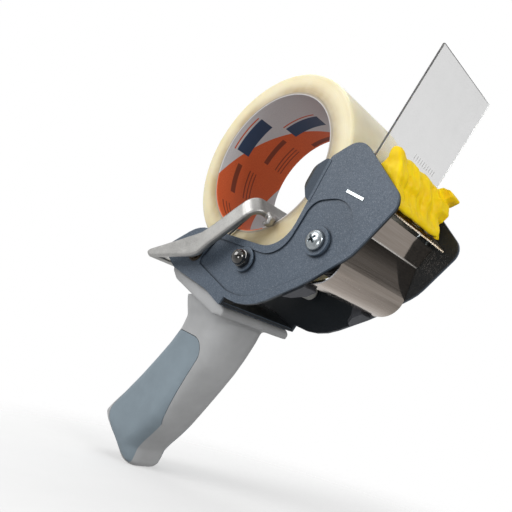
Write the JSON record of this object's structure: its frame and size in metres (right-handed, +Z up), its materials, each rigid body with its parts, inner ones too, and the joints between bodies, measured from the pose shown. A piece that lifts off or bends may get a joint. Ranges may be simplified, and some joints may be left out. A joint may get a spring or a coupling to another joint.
{
  "type": "packing tape dispenser",
  "caption": "Hand-held pistol-grip packing tape dispenser with folded steel side plates, a sprung roll lever, tape roller, toothed blade, swinging guard and clear flap.",
  "frame": {"origin": "centre of the tape roll: on its axis, midway between the two side plates", "axes": "+Y along the roll's axis from the near (lever) side plate to the far one, +X towards the cutting end, +Z up"},
  "size_m": [0.1911, 0.0739, 0.2192],
  "materials": {
    "frame_paint": "satin navy powder coat",
    "polished_sheet": "polished stainless sheet",
    "blade_steel": "ground spring steel",
    "plated_steel": "bright zinc plate",
    "spring_wire": "drawn spring wire",
    "guard_plastic": "moulded yellow plastic",
    "holder_plastic": "black moulded plastic",
    "clear_plastic": "clear plastic sheet",
    "core_card": "spiral-wound card with printed bands",
    "tape_film": "clear packing tape, many layers",
    "roller_plastic": "moulded plastic",
    "support_plastic": "turned acetal",
    "roller_rubber": "ribbed rubber",
    "bush_bronze": "sintered bronze",
    "cast_alloy": "satin die-cast alloy",
    "black_nut": "black gloss plate",
    "grip_plastic": "light grey moulded plastic",
    "grip_rubber": "soft blue-grey inlay"
  },
  "bodies": {
    "root": {"side_plate_near": "frame_paint", "side_plate_far": "frame_paint", "base_web": "frame_paint", "buffer_plate": "polished_sheet", "blade_carrier": "plated_steel", "blade": "blade_steel", "blade_screws": "plated_steel", "guard_pin": "plated_steel", "flap_pin": "plated_steel", "roller_axle": "plated_steel", "axle_screws": "plated_steel", "axle_washers": "frame_paint", "support_axle": "plated_steel", "support_washers": "frame_paint", "dome_nuts": "black_nut", "lever_bushes": "bush_bronze", "grip_body": "grip_plastic", "grip_panel_near": "grip_rubber", "grip_panel_far": "grip_rubber", "grip_screws": "plated_steel"},
    "tape_roll": {"tape_core": "core_card", "tape_winding": "tape_film"},
    "tape_roller": {"roller_hub": "roller_plastic", "roller_sleeve": "roller_rubber", "roller_bushes": "support_plastic"},
    "support": {"support_roller": "support_plastic"},
    "lever": {"lever_arm": "cast_alloy", "lever_shaft": "plated_steel", "lever_clip": "spring_wire", "lever_spring": "spring_wire"},
    "guard": {"blade_guard": "guard_plastic", "guard_spring": "spring_wire"},
    "flap": {"flap_holder": "holder_plastic", "clear_flap": "clear_plastic", "flap_spring": "spring_wire"}
  },
  "joints": [
    {"name": "roll_spin", "type": "hinge", "parent": "root", "child": "tape_roll", "pos_m": [0, 0, 0], "axis": [0, 1, 0], "continuous": true},
    {"name": "roller_spin", "type": "hinge", "parent": "root", "child": "tape_roller", "pos_m": [0.0478, 0, -0.0472], "axis": [0, 1, 0], "continuous": true},
    {"name": "support_spin", "type": "hinge", "parent": "root", "child": "support", "pos_m": [0.006, 0, -0.0555], "axis": [0, 1, 0], "continuous": true},
    {"name": "lever_lift", "type": "hinge", "parent": "root", "child": "lever", "pos_m": [-0.033, 0, -0.0505], "axis": [0, -1, 0], "range_deg": [0, 10], "stiffness_Nm_per_rad": 0.8, "springref_deg": -14.32},
    {"name": "guard_swing", "type": "hinge", "parent": "root", "child": "guard", "pos_m": [0.0675, 0, -0.0135], "axis": [0, -1, 0], "range_deg": [0, 20], "stiffness_Nm_per_rad": 0.05, "springref_deg": -28.65},
    {"name": "flap_swing", "type": "hinge", "parent": "root", "child": "flap", "pos_m": [0.0602, 0, -0.0175], "axis": [0, -1, 0], "range_deg": [0, 15], "stiffness_Nm_per_rad": 0.05, "springref_deg": -28.65}
  ],
  "couplings": [
    {"joint": "roller_spin", "follows": "roll_spin", "ratio": 4.6091},
    {"joint": "support_spin", "follows": "roll_spin", "ratio": -10.562}
  ]
}
